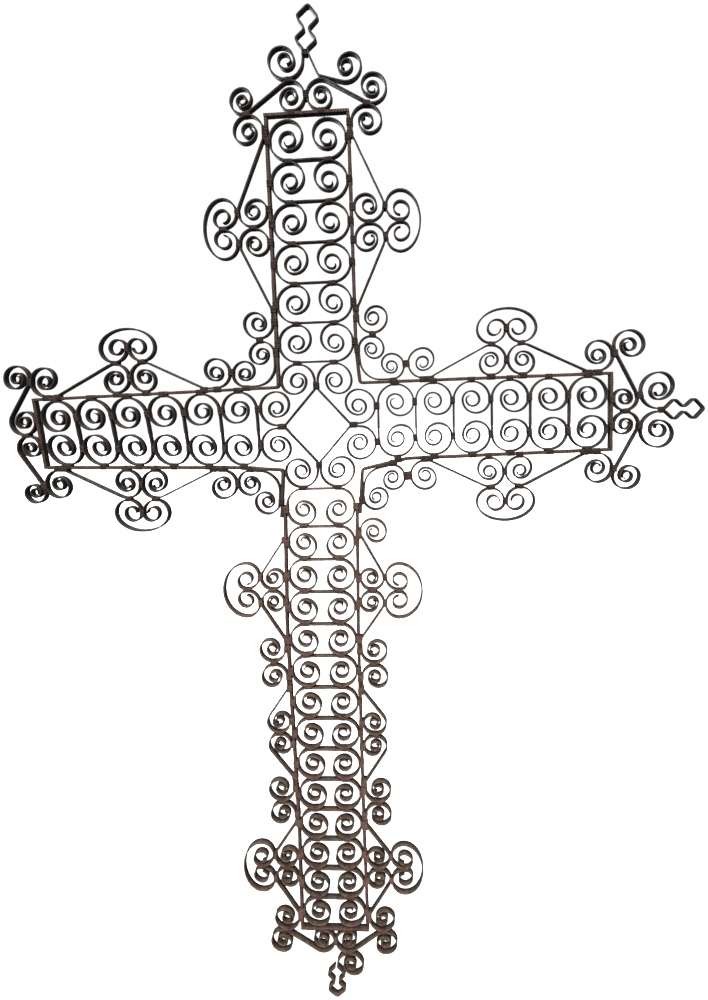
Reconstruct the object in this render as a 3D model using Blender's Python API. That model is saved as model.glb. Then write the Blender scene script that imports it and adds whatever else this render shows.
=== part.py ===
"""Openwork cross of wrought iron: flat strips set on edge, bent into scrolls and tied with collars.

Metres, +Z up, the front looks to -Y and the back lies in the plane Y = 0. The origin is the middle
of the top arm's end bar. Each strip is a path in the plane of the cross, written as complex
numbers (x + z j) about the crossing, swept with the section of the flat stock.
"""
import cmath
import math

import bmesh
import bpy

# Flat stock and fit
STRIP = 0.0025          # thickness of a scroll's strip, seen from the front
RAIL = 0.0040           # thickness of the rails and the end bars
DEPTH = 0.014           # width of all stock, from the front to the wall
GAP = 0.0004            # air between pieces that touch
BAR_AIR = 0.0010        # air between a rail's end and a bar that may be slanted
COLLAR_WRAP = 0.0012    # what a collar adds around the strips it ties
COLLAR_LENGTH = 0.010
TOUCH = STRIP + GAP     # distance between the middle lines of two strips side by side
RAIL_TOUCH = (RAIL + STRIP) / 2 + GAP   # the same for a strip beside a rail
COLLAR_WIDTH = TOUCH + STRIP + 2 * COLLAR_WRAP

# A scroll winds in half turns, each a fixed share of the first one's radius
WIND = (1.0, 0.75)
ROW_WIND = (1.0, 0.75, 0.46)
WIND_DEGREES = (180, 180, 90)
SAG = 0.0029            # how far a flat facet may cut inside its arc

# Reach of each arm from the crossing to the middle of its end bar, and how far a slanted bar's
# ends stand out of square
TOP_REACH = 0.4300
LOWER_REACH = 0.8145
LEFT_REACH = 0.4238
LEFT_SLANT = 0.0053
RIGHT_REACH = 0.4220
RIGHT_SLANT = 0.0005

# Each arm: its outward direction, its two rails as (along, across) points, and its rows of scrolls.
# "left" and "right" are the sides seen by someone who looks outward along the arm. The rows share
# the room from the first one to "last_air" before the end bar, where the first may be longer by
# "first_extra". Rows that lean are skewed by that slope, reached at the fourth row, and are wound
# a little smaller.
LEAN_ROWS = 4
LEAN_LOSS = 0.007
ARMS = {
    "top": {
        "direction": 1j,
        "left": [(0.0530, 0.0555), (TOP_REACH, 0.0575)],
        "right": [(0.0560, -0.0645), (0.1050, -0.0600), (TOP_REACH, -0.0585)],
        "first_row": 0.0885, "first_extra": 0.0, "last_air": 0.0055, "rows": 6, "lean": 0.0,
    },
    "left": {
        "direction": -1,
        "left": [(0.0540, 0.0690), (0.1200, 0.0640), (LEFT_REACH - LEFT_SLANT, 0.0570)],
        "right": [(0.0555, -0.0530), (LEFT_REACH + LEFT_SLANT, -0.0460)],
        "first_row": 0.0890, "first_extra": 0.0, "last_air": 0.0048, "rows": 6, "lean": -0.13,
    },
    "right": {
        "direction": 1,
        "left": [(0.0645, 0.0560), (RIGHT_REACH - RIGHT_SLANT, 0.0585)],
        "right": [(0.0645, -0.0705), (0.1300, -0.0560), (RIGHT_REACH + RIGHT_SLANT, -0.0500)],
        "first_row": 0.0900, "first_extra": 0.0, "last_air": 0.0032, "rows": 6, "lean": 0.0,
    },
    "lower": {
        "direction": -1j,
        "left": [(0.1240, 0.0550), (0.3300, 0.0510), (0.6360, 0.0510), (LOWER_REACH, 0.0525)],
        "right": [(0.1280, -0.0535), (0.3150, -0.0580), (0.6370, -0.0525), (LOWER_REACH, -0.0540)],
        "first_row": 0.0980, "first_extra": 0.0068, "last_air": 0.0032, "rows": 14, "lean": 0.0,
    },
}
# Short legs on which the lower corners end, beside the rails of the lower arm
LEG_LEFT_END = -0.0590 - 0.1400j
LEG_RIGHT_END = 0.0593 - 0.1360j

# Diamond at the crossing, and the radii of the upright and the level scroll of each quarter. They
# reach to the first row of their arms, short of it by the room that a leaning row needs.
DIAMOND_CENTRE = 0.0000 - 0.0045j
DIAMOND_HALF_WIDTH = 0.0480
DIAMOND_HALF_HEIGHT = 0.0533
DIAMOND_SCROLLS = {
    "upper_right": (0.0250, 0.0245),
    "upper_left": (0.0245, 0.0245),
    "lower_left": (0.0238, 0.0245),
    "lower_right": (0.0250, 0.0240),
}
DIAMOND_AIR = 0.0016

# Scroll in each outer corner of the crossing, bowed from one rail to the other
CORNER_BEND = 0.0300
CORNER_STRAIGHT = 0.0153
CORNER_SCROLL = 0.0182
CORNER_REACH = RAIL_TOUCH + CORNER_BEND + CORNER_STRAIGHT + CORNER_SCROLL + TOUCH

# Side lobes: a large outer scroll held by two braces that stand on the rail
LOBE_SEAT = 0.0005      # air between a brace and a rail that isn't quite straight
LOWER_FIRST = 0.2530    # from the crossing to the first lobe of the lower arm
LOWER_LAST = LOWER_REACH - 0.1058
LOWER_MIDDLE = (LOWER_FIRST + LOWER_LAST) / 2
LOBE_SCROLL = 0.0200
LOBE_WIND = (1.0, 0.62)
LOBE_BACK_STEPS = 6
# Sizes of a lobe: radii of a brace's scroll inside it and of the one beyond the brace's foot, and
# the reach from the rail's middle line to the lobe's outer face
WIDE = (0.0210, 0.0210, 0.0975)
NARROW = (0.0175, 0.0195, 0.0975)
LAST = (0.0175, 0.0195, 0.0915)
# Each lobe: arm, side, middle along the arm, size, then for the near and the far brace the air
# left before the next scroll along the rail, or before the rail's end, less than none where the
# scroll reaches past it, and the straight run from the brace's foot to its own scroll, or None if
# that is broken off
LOBES = {
    "lobe_top_left": ("top", "left", TOP_REACH - 0.1500, WIDE, (0.0016, 0.0185), (-0.0014, 0.0095)),
    "lobe_top_right": ("top", "right", TOP_REACH - 0.1500, WIDE, (0.0010, 0.0150), (-0.0062, 0.0160)),
    "lobe_left_upper": ("left", "right", LEFT_REACH - 0.1457, WIDE, (0.0011, 0.0200), (-0.0015, 0.0180)),
    "lobe_left_lower": ("left", "left", LEFT_REACH - 0.1523, WIDE, (0.0004, 0.0135), (-0.0020, 0.0100)),
    "lobe_right_upper": ("right", "left", RIGHT_REACH - 0.1460, WIDE, (0.0008, 0.0100), (-0.0028, 0.0145)),
    "lobe_right_lower": ("right", "right", RIGHT_REACH - 0.1500, WIDE, (0.0008, 0.0070), (-0.0023, 0.0180)),
    "lobe_lower_left_1": ("lower", "right", LOWER_FIRST, NARROW, (0.0170, None), (0.0015, 0.0160)),
    "lobe_lower_right_1": ("lower", "left", LOWER_FIRST + 0.0010, NARROW, (0.0041, 0.0045), (0.0016, 0.0180)),
    "lobe_lower_left_2": ("lower", "right", LOWER_LAST, LAST, (0.0025, 0.0150), (-0.0026, 0.0090)),
    "lobe_lower_right_2": ("lower", "left", LOWER_LAST, LAST, (0.0018, 0.0180), (-0.0012, 0.0080)),
}
SMALL_LOBES = {
    "small_lobe_left": ("lower", "right", LOWER_MIDDLE + 0.0008, NARROW, (0.0030, 0.0195), (0.0015, 0.0200)),
    "small_lobe_right": ("lower", "left", LOWER_MIDDLE + 0.0035, NARROW, (0.0028, 0.0210), (0.0018, 0.0130)),
}

# Ends. The two shoulders on an end bar: the radii of the scroll beside the axis and of the outer
# one, and the outer one's middle from the middle of the bar, as (along, across)
SHOULDERS = {
    ("top", "left"): (0.0197, 0.0168, (0.0205, 0.0893)),
    ("top", "right"): (0.0197, 0.0193, (0.0275, 0.0930)),
    ("left", "left"): (0.0175, 0.0160, (0.0235, 0.0873)),
    ("left", "right"): (0.0195, 0.0188, (0.0202, 0.0858)),
    ("right", "left"): (0.0168, 0.0205, (0.0245, 0.0925)),
    ("right", "right"): (0.0175, 0.0187, (0.0223, 0.0926)),
    ("lower", "left"): (0.0185, 0.0184, (0.0222, 0.0810)),
    ("lower", "right"): (0.0185, 0.0186, (0.0232, 0.0855)),
}
# Beyond them the finials: radius of the two end scrolls, stem, half height of the near and of the
# far diamond, half their width, and the degrees that it leans to the right
FINIALS = {
    "top": (0.0240, 0.0130, (0.0130, 0.0158), 0.0155, 6.5),
    "right": (0.0253, 0.0085, (0.0130, 0.0138), 0.0150, 0.0),
    "lower": (0.0208, 0.0035, (0.0134, 0.0131), 0.0147, 0.0),
}
KISS = 0.0022           # from the axis to the middle line of a strip bent against its twin
# The top right end scroll is bent away: where its strip crosses the shoulder, and where it winds
BENT_OVER = 0.0480 + 0.0193j
BENT_CENTRE = 0.0588 + 0.0572j
BENT_SCROLL = 0.0210

IRON = (0.055, 0.042, 0.036, 1.0)
RUSTY_IRON = (0.105, 0.065, 0.045, 1.0)


def material(name, colour, roughness):
    made = bpy.data.materials.new(name)
    made.use_nodes = True
    shader = made.node_tree.nodes["Principled BSDF"]
    shader.inputs["Base Color"].default_value = colour
    shader.inputs["Roughness"].default_value = roughness
    shader.inputs["Metallic"].default_value = 0.6
    return made


class Bend:
    """The middle line of a strip, drawn as it is bent: straight runs and turns."""

    def __init__(self, start, heading):
        self.points = [start]
        self.heading = heading / abs(heading)

    def ahead(self, length):
        self.points.append(self.points[-1] + self.heading * length)
        return self

    def run_to(self, centre, radius, side):
        """Straight to where a turn about the centre, to the left (1) or right (-1), begins."""
        toward = centre - self.points[-1]
        aside = math.asin(radius / abs(toward))
        self.heading = toward / abs(toward) * cmath.rect(1, -side * aside)
        return self.ahead(math.sqrt(abs(toward) ** 2 - radius ** 2))

    def turn(self, radius, degrees):
        """Positive degrees turn to the left."""
        facet = 2 * math.degrees(math.acos(1 - SAG / radius))
        steps = max(1, round(abs(degrees) / facet))
        side = 1j if degrees > 0 else -1j
        centre = self.points[-1] + self.heading * side * radius
        spoke = self.points[-1] - centre
        for step in range(1, steps + 1):
            self.points.append(centre + spoke * cmath.rect(1, math.radians(degrees * step / steps)))
        self.heading *= cmath.rect(1, math.radians(degrees))
        return self

    def kink(self, heading):
        self.heading = heading / abs(heading)
        return self

    def scroll(self, radius, side, until=None, wind=WIND):
        """Wind up to the left (1) or right (-1); the first turn may go on until a heading."""
        for share, degrees in zip(wind, WIND_DEGREES):
            if until:
                degrees = math.degrees(side * cmath.phase(until / self.heading)) % 360
                until = None
            self.turn(radius * share, side * degrees)
        return self


def mirrored(points):
    """Reflect along-across paths in the arm's own axis."""
    return [point.conjugate() for point in points]


def joined(first, second):
    """One path back along the first and on along the second, which start at the same point."""
    turn = (second[1] - second[0]) / (first[0] - first[1])
    shared = [] if abs(turn.imag) < 1e-6 else [second[0]]
    return first[:0:-1] + shared + second[1:]


def placed(points, direction, origin=0j):
    return [origin + direction * point for point in points]


def rail_across(rail, along):
    """Across position of a rail at a distance along its arm."""
    for (a0, c0), (a1, c1) in zip(rail, rail[1:]):
        if along <= a1 or (a1, c1) == rail[-1]:
            share = min(max((along - a0) / (a1 - a0), 0.0), 1.0)
            return c0 + (c1 - c0) * share


def strip_mesh(points, thickness=STRIP):
    """Sweep the flat section along a path; corners are mitred, ends are square."""
    shape = bmesh.new()
    rings = []
    last = len(points) - 1
    for index, point in enumerate(points):
        before = point - points[index - 1] if index else points[1] - point
        after = points[index + 1] - point if index < last else before
        before, after = before / abs(before), after / abs(after)
        normal = 1j * (before + after) / abs(before + after)
        reach = thickness / 2 / (normal.real * (1j * after).real + normal.imag * (1j * after).imag)
        ring = []
        for side, y in ((1, 0.0), (-1, 0.0), (-1, -DEPTH), (1, -DEPTH)):
            corner = point + side * reach * normal
            ring.append(shape.verts.new((corner.real, y, corner.imag - TOP_REACH)))
        rings.append(ring)
    for ring, following in zip(rings, rings[1:]):
        for side in range(4):
            other = (side + 1) % 4
            shape.faces.new((ring[side], ring[other], following[other], following[side]))
    shape.faces.new(rings[0][::-1])
    shape.faces.new(rings[-1])
    bmesh.ops.recalc_face_normals(shape, faces=shape.faces)
    mesh = bpy.data.meshes.new("strip")
    shape.to_mesh(mesh)
    shape.free()
    return mesh


def collar_mesh(centre, direction):
    """A collar round two strips that run side by side along a direction."""
    direction /= abs(direction)
    shape = bmesh.new()
    bmesh.ops.create_cube(shape, size=1.0)
    for vert in shape.verts:
        place = centre + direction * (vert.co.x * COLLAR_LENGTH + 1j * vert.co.z * COLLAR_WIDTH)
        y = vert.co.y * DEPTH - DEPTH / 2 - COLLAR_WRAP
        vert.co = (place.real, y, place.imag - TOP_REACH)
    bmesh.ops.recalc_face_normals(shape, faces=shape.faces)
    mesh = bpy.data.meshes.new("collar")
    shape.to_mesh(mesh)
    shape.free()
    return mesh


def node(name, meshes, finish):
    """One object from one or more overlapping closed meshes."""
    whole = bpy.data.objects.new(name, meshes[0])
    bpy.context.collection.objects.link(whole)
    extras = []
    for index, mesh in enumerate(meshes[1:]):
        extra = bpy.data.objects.new(f"{name}_with_{index}", mesh)
        bpy.context.collection.objects.link(extra)
        extras.append(extra)
        union = whole.modifiers.new(f"join_{index}", "BOOLEAN")
        union.operation = "UNION"
        union.solver = "EXACT"
        union.object = extra
    if extras:
        bpy.context.view_layer.update()
        evaluated = whole.evaluated_get(bpy.context.evaluated_depsgraph_get())
        solid = bpy.data.meshes.new_from_object(evaluated)
        whole.modifiers.clear()
        whole.data = solid
        for extra in extras:
            bpy.data.objects.remove(extra)
    whole.data.materials.clear()
    whole.data.materials.append(finish)
    return whole


def make_frame(finish):
    """Four bent corner rails, the two lower rails and a bar across the end of each arm."""
    top, left, right, lower = (ARMS[name] for name in ("top", "left", "right", "lower"))

    def rail(arm, side):
        """Middle line of a rail, which stops short of the end bar."""
        points = [complex(a, c) for a, c in arm[side]]
        points[-1] -= RAIL / 2 + BAR_AIR
        return placed(points, arm["direction"])

    def leg(upper, end):
        return joined(upper, [upper[0], end])

    rails = {
        "corner_upper_left": joined(rail(top, "left"), rail(left, "right")),
        "corner_upper_right": joined(rail(top, "right"), rail(right, "left")),
        "corner_lower_left": leg(rail(left, "left"), LEG_LEFT_END),
        "corner_lower_right": leg(rail(right, "right"), LEG_RIGHT_END),
        "rail_lower_left": rail(lower, "right"),
        "rail_lower_right": rail(lower, "left"),
    }
    for name, points in rails.items():
        node(name, [strip_mesh(points, RAIL)], finish)
    for name, arm in ARMS.items():
        ends = [complex(*arm[side][-1]) for side in ("left", "right")]
        across = (ends[0] - ends[1]) / abs(ends[0] - ends[1])
        bar = [ends[0] + across * RAIL / 2, ends[1] - across * RAIL / 2]
        if name == "top":
            half_length = abs(ends[0] - ends[1]) / 2 + RAIL / 2
            bar = [TOP_REACH + 1j * half_length, TOP_REACH - 1j * half_length]
        node(f"bar_{name}", [strip_mesh(placed(bar, arm["direction"]), RAIL)], finish)


def row_pitch(arm):
    """Distance from one row to the next, with all rows between the first and the end bar."""
    reach = (arm["left"][-1][0] + arm["right"][-1][0]) / 2
    return (reach - arm["last_air"] - arm["first_row"] - arm["first_extra"]) / arm["rows"]


def row_start(arm, index):
    return arm["first_row"] + row_pitch(arm) * index + (arm["first_extra"] if index else 0.0)


def row_path(arm, index):
    """One scroll across an arm: straight spine toward the crossing, both ends wound outward."""
    pitch = row_pitch(arm)
    start = row_start(arm, index)
    lean = arm["lean"] * min(1.0, (index + 1) / LEAN_ROWS)
    ahead = (start, start + pitch / 2, start + pitch)
    high = min(rail_across(arm["left"], along) for along in ahead) - RAIL_TOUCH
    low = max(rail_across(arm["right"], along) for along in ahead) + RAIL_TOUCH
    radius = (pitch - TOUCH - abs(arm["lean"]) * LEAN_LOSS) / 2
    middle, half = (high + low) / 2, (high - low) / 2
    one = Bend(0j, 1j).ahead(half - radius)
    if arm["first_extra"] and not index:
        one.turn(radius, -90).ahead(arm["first_extra"])
    one = one.scroll(radius, -1, until=-1j, wind=ROW_WIND).points
    path = joined(mirrored(one), one)
    return [complex(start + p.real + lean * p.imag, middle + p.imag) for p in path]


def make_rows(finish):
    """Panels: rows stand alone in the three short arms and are tied in pairs in the long one."""
    for name, arm in ARMS.items():
        paths = [placed(row_path(arm, index), arm["direction"]) for index in range(arm["rows"])]
        if name != "lower":
            for index, path in enumerate(paths):
                node(f"row_{name}_{index + 1}", [strip_mesh(path)], finish)
            continue
        for index in range(0, arm["rows"], 2):
            start = row_start(arm, index + 1)
            across = rail_across(arm["left"], start) - RAIL_TOUCH - (row_pitch(arm) - TOUCH) / 2
            tie = collar_mesh(arm["direction"] * complex(start - TOUCH / 2, across),
                              1j * arm["direction"])
            pair = [strip_mesh(paths[index]), strip_mesh(paths[index + 1]), tie]
            node(f"rows_lower_{index // 2 + 1}", pair, finish)


def make_diamond(finish):
    """Four scrolls whose straight backs make the diamond at the crossing."""
    quarters = {"upper_right": ("top", "right"), "upper_left": ("top", "left"),
                "lower_left": ("lower", "left"), "lower_right": ("lower", "right")}
    for name, (tall_arm, side_arm) in quarters.items():
        tall_radius, side_radius = DIAMOND_SCROLLS[name]
        z_sign = round(ARMS[tall_arm]["direction"].imag)
        x_sign = ARMS[side_arm]["direction"]
        tall_end = ARMS[tall_arm]["first_row"] - TOUCH - z_sign * DIAMOND_CENTRE.imag
        side_end = ARMS[side_arm]["first_row"] - TOUCH - DIAMOND_AIR
        side_knot = complex(DIAMOND_HALF_WIDTH, KISS)
        tall_knot = complex(KISS, DIAMOND_HALF_HEIGHT)
        middle = (side_knot + tall_knot) / 2
        up = Bend(middle, tall_knot - middle).ahead(abs(tall_knot - middle)).kink(1j)
        up.ahead(tall_end - tall_radius - tall_knot.imag).scroll(tall_radius, -1)
        out = Bend(middle, side_knot - middle).ahead(abs(side_knot - middle)).kink(1)
        out.ahead(side_end - side_radius - side_knot.real).scroll(side_radius, 1)
        path = joined(out.points, up.points)
        path = [DIAMOND_CENTRE + complex(x_sign * p.real, z_sign * p.imag) for p in path]
        node(f"diamond_{name}", [strip_mesh(path)], finish)


def corner_point(name):
    """The bend of the rail in a corner of the crossing, and its ways outward, level and upright."""
    places = {
        "upper_left": ("left", "right"), "upper_right": ("right", "left"),
        "lower_left": ("left", "left"), "lower_right": ("right", "right"),
    }
    arm, side = places[name]
    direction = ARMS[arm]["direction"]
    corner, following = (direction * complex(*point) for point in ARMS[arm][side][:2])
    upright = {
        "upper_left": 1j * complex(*ARMS["top"]["left"][1]),
        "upper_right": 1j * complex(*ARMS["top"]["right"][1]),
        "lower_left": LEG_LEFT_END, "lower_right": LEG_RIGHT_END,
    }[name]
    return corner, following - corner, upright - corner


def make_corners(finish):
    """A scroll in each outer corner of the crossing, its back round the corner."""
    for name in ("upper_left", "upper_right", "lower_left", "lower_right"):
        corner, level, upright = corner_point(name)
        level, upright = level / abs(level), upright / abs(upright)
        half = abs(cmath.phase(upright / level)) / 2
        outward = (level + upright) / abs(level + upright)
        bow = corner + outward * (RAIL_TOUCH + CORNER_BEND) / math.sin(half) - outward * CORNER_BEND
        side = 1 if (outward / level).imag > 0 else -1
        bend = 90 - math.degrees(half)
        flat = Bend(bow, -side * 1j * outward).turn(CORNER_BEND, side * bend)
        flat.ahead(CORNER_STRAIGHT).scroll(CORNER_SCROLL, side)
        tall = Bend(bow, side * 1j * outward).turn(CORNER_BEND, -side * bend)
        tall.ahead(CORNER_STRAIGHT).scroll(CORNER_SCROLL, -side)
        node(f"corner_scroll_{name}", [strip_mesh(joined(flat.points, tall.points))], finish)


def brace_path(foot, lead, inner, outer):
    """A brace beside a rail: x runs along the rail from the middle of the lobe, y away from it."""
    start = complex(foot, RAIL_TOUCH)
    inward = Bend(start, -1).run_to(complex(inner + TOUCH / 2, RAIL_TOUCH + inner), inner, 1)
    inward.scroll(inner, 1, until=1)
    outward = Bend(start, 1)
    if lead is None:
        outward.ahead(STRIP)
    else:
        outward.ahead(lead).scroll(outer, 1)
    return joined(inward.points, outward.points)


def lobe_path(inner, reach):
    """The outer scroll of a lobe, from one wound end round the back to the other."""
    near = RAIL_TOUCH + 2 * inner + TOUCH
    top = complex(2 * LOBE_SCROLL + TOUCH / 2, near + LOBE_SCROLL)
    depth = reach - STRIP / 2 - top.imag
    half = LOBE_BACK_STEPS // 2
    back = []
    for step in range(half + 1):
        angle = math.pi / 2 * step / half
        back.append(complex(top.real * math.sin(angle), top.imag + depth * math.cos(angle)))
    end = Bend(top, -1j).scroll(LOBE_SCROLL, -1, wind=LOBE_WIND)
    one = back + end.points[1:]
    return joined([complex(-p.real, p.imag) for p in one], one)


def lobe_room(arm, side, middle):
    """Room along the rail on both sides of a lobe: to its neighbours' halves, or what ends them."""
    every = [*LOBES.values(), *SMALL_LOBES.values()]
    others = [place[2] for place in every if place[:2] == (arm, side) and place[2] != middle]
    corners = {("top", "left"): "upper_left", ("left", "right"): "upper_left",
               ("top", "right"): "upper_right", ("right", "left"): "upper_right",
               ("left", "left"): "lower_left", ("lower", "right"): "lower_left",
               ("right", "right"): "lower_right", ("lower", "left"): "lower_right"}
    corner = corner_point(corners[arm, side])[0] / ARMS[arm]["direction"]
    starts = [corner.real + CORNER_REACH] + [(middle + o) / 2 for o in others if o < middle]
    ends = [ARMS[arm][side][-1][0]] + [(middle + o) / 2 for o in others if o > middle]
    return middle - max(starts), min(ends) - middle


def lobe_node(name, place, finish, with_outer=True):
    """One lobe against a rail of an arm."""
    arm, side, middle, (inner, outer, reach), near, far = place
    sign = 1 if side == "left" else -1
    rail = ARMS[arm][side]
    near_foot, far_foot = (room - air - (lead or 0) - outer for room, (air, lead)
                           in zip(lobe_room(arm, side, middle), (near, far)))
    feet = [complex(along, rail_across(rail, along)) for along in (middle - near_foot, middle + far_foot)]
    tilt = (feet[1] - feet[0]) / abs(feet[1] - feet[0])
    base = feet[0] + tilt * near_foot + tilt * 1j * sign * LOBE_SEAT

    def put(points):
        local = [complex(p.real, sign * p.imag) for p in points]
        return placed(placed(local, tilt, base), ARMS[arm]["direction"])

    def tie(along, across, heading):
        spot = put([complex(along, across), complex(along, across) + heading])
        return collar_mesh(spot[0], spot[1] - spot[0])

    meshes = []
    for flip, foot, lead in ((-1, near_foot, near[1]), (1, far_foot, far[1])):
        brace = brace_path(foot, lead, inner, outer)
        meshes.append(strip_mesh(put([complex(flip * p.real, p.imag) for p in brace])))
    if with_outer:
        meshes.append(strip_mesh(put(lobe_path(inner, reach))))
        for flip in (1, -1):
            meshes.append(tie(flip * LOBE_SCROLL, RAIL_TOUCH + 2 * inner + TOUCH / 2, 1))
    else:
        meshes.append(tie(0, RAIL_TOUCH + inner, 1j))
    node(name, meshes, finish)


def make_lobes(finish, rusty):
    for name, place in LOBES.items():
        lobe_node(name, place, rusty if "lower" in place else finish)
    for name, place in SMALL_LOBES.items():
        lobe_node(name, place, rusty, with_outer=False)


def shoulder_path(inner, outer, outer_place):
    """An S-shaped scroll on an end bar: wound out beyond the rail and in beside the axis."""
    inner_centre = complex(RAIL_TOUCH + inner, inner + TOUCH / 2)
    outer_centre = complex(*outer_place)
    between = inner_centre + (outer_centre - inner_centre) * inner / (inner + outer)
    outward = Bend(between, 1j).run_to(outer_centre, outer, -1).scroll(outer, -1, until=-1j)
    inward = Bend(between, -1j).run_to(inner_centre, inner, -1).scroll(inner, -1, until=1j)
    return joined(outward.points, inward.points)


def finial_path(arm, has_left, has_right, bent):
    """One strip: end scroll, stem, two diamonds up to the tip, and down to the other scroll."""
    end_scroll, stem, half_heights, half_width, lean = FINIALS[arm]
    nearest = max(SHOULDERS[arm, side][0] for side in ("left", "right"))
    seat = RAIL_TOUCH + 2 * nearest + TOUCH + end_scroll
    rise = []
    along = stem
    for half_height in half_heights:
        rise += [complex(along, KISS), complex(along + half_height, half_width)]
        along += 2 * half_height
    leant = cmath.rect(1, math.radians(-lean))
    left_rise = [seat + leant * point for point in rise]
    right_rise = [seat + leant.conjugate() * point for point in rise]
    curl = Bend(complex(seat, KISS), -1).scroll(end_scroll, -1).points[::-1]
    left = (curl if has_left else []) + left_rise
    right = (curl if has_right else []) + right_rise
    if bent:
        swung = Bend(right_rise[0], BENT_OVER - right_rise[0]).ahead(abs(BENT_OVER - right_rise[0]))
        swung.run_to(BENT_CENTRE, BENT_SCROLL, -1).scroll(BENT_SCROLL, -1, until=1)
        right = swung.points[::-1] + right_rise[1:]
    return left + [seat + leant * along] + mirrored(right)[::-1]


def end_node(name, arm, finish, has_left=True, has_right=True, bent=False):
    """Everything beyond the end bar of an arm, tied into one piece."""
    direction = ARMS[arm]["direction"]
    ends = [complex(*ARMS[arm][side][-1]) for side in ("left", "right")]
    across = (ends[0] - ends[1]) / abs(ends[0] - ends[1])
    turn = across / 1j if arm != "top" else 1
    base = complex(TOP_REACH, 0) if arm == "top" else (ends[0] + ends[1]) / 2

    def put(points):
        return placed(placed(points, turn, base), direction)

    def tie(along, across, heading):
        spot = put([complex(along, across), complex(along, across) + heading])
        return collar_mesh(spot[0], spot[1] - spot[0])

    left, right = SHOULDERS[arm, "left"], SHOULDERS[arm, "right"]
    meshes = [strip_mesh(put(shoulder_path(*left))), strip_mesh(put(mirrored(shoulder_path(*right)))),
              tie(RAIL_TOUCH + (left[0] + right[0]) / 2, 0, 1)]
    if arm in FINIALS:
        meshes.append(strip_mesh(put(finial_path(arm, has_left, has_right, bent))))
        end_scroll = FINIALS[arm][0]
        for side, inner, present in ((1, left[0], has_left), (-1, right[0], has_right and not bent)):
            if present:
                height = RAIL_TOUCH + 2 * inner + TOUCH / 2
                meshes.append(tie(height, side * (end_scroll + inner) / 2, 1j))
    node(name, meshes, finish)


for item in list(bpy.data.objects):
    bpy.data.objects.remove(item)

iron = material("wrought_iron", IRON, 0.62)
rusty_iron = material("rusty_wrought_iron", RUSTY_IRON, 0.75)

make_frame(iron)
make_rows(iron)
make_diamond(iron)
make_corners(iron)
make_lobes(iron, rusty_iron)
end_node("end_top", "top", iron, bent=True)
end_node("end_left", "left", iron)
end_node("end_right", "right", iron)
end_node("end_lower", "lower", rusty_iron, has_right=False)
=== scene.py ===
"""Openwork cross of wrought iron, dressed for its portrait.

Metres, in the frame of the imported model: +Z up, the front looks to -Y, and the origin is the
middle of the top arm's end bar. Strips are paths in the plane of the cross, written as complex
numbers (x + z j) about the crossing, and swept with the hammered section of the flat stock.
"""
import cmath
import math

import bmesh
import bpy
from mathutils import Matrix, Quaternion, Vector, noise


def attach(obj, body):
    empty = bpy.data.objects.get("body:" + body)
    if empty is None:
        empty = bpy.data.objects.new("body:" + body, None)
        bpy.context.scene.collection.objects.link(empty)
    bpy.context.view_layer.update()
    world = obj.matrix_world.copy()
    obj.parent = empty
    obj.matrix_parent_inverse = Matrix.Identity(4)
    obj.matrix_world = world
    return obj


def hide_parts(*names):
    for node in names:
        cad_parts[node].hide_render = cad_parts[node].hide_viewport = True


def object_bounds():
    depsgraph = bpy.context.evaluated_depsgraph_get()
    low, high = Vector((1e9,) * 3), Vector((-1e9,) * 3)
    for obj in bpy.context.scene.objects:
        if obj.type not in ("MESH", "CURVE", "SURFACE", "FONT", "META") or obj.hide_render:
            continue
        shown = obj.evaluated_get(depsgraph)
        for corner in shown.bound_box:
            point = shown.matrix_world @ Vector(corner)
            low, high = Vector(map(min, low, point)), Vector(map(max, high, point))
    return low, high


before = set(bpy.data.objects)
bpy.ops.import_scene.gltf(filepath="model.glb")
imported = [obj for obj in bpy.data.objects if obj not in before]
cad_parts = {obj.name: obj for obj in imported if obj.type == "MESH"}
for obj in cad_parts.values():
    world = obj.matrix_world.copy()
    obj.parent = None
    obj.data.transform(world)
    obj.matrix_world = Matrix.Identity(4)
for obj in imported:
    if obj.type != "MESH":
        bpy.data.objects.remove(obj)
cad_low, cad_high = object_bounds()


# Corner rails: four flat iron bars, each bent square round a corner of the crossing. They edge the
# three short arms, and the lower two end in a short leg. Forged by hand from thicker stock than
# the scrolls, and wound with wire from end to end, which shows as fine slanting ribs.
DEPTH = 0.014           # width of all stock, from the front to the wall
RAIL = 0.0040           # thickness of a rail, seen from the front
RAIL_RIB = 0.00028      # height of a rib of the wire
RIB_PITCH = 0.0040
RIB_STATIONS = 4        # sections of the bar to each rib
RIB_SLANT = 0.0034      # how far a rib climbs from the wall to the front
BAR_AIR = 0.0010        # air between a rail's end and the end bar

OUTWARD = {"top": 1j, "left": -1, "right": 1, "lower": -1j}
TOP_REACH = 0.4300      # from the crossing to the middle of each end bar
LEFT_REACH = 0.4238
LEFT_SLANT = 0.0053     # how far a slanted bar's ends stand out of square
RIGHT_REACH = 0.4220
RIGHT_SLANT = 0.0005

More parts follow.
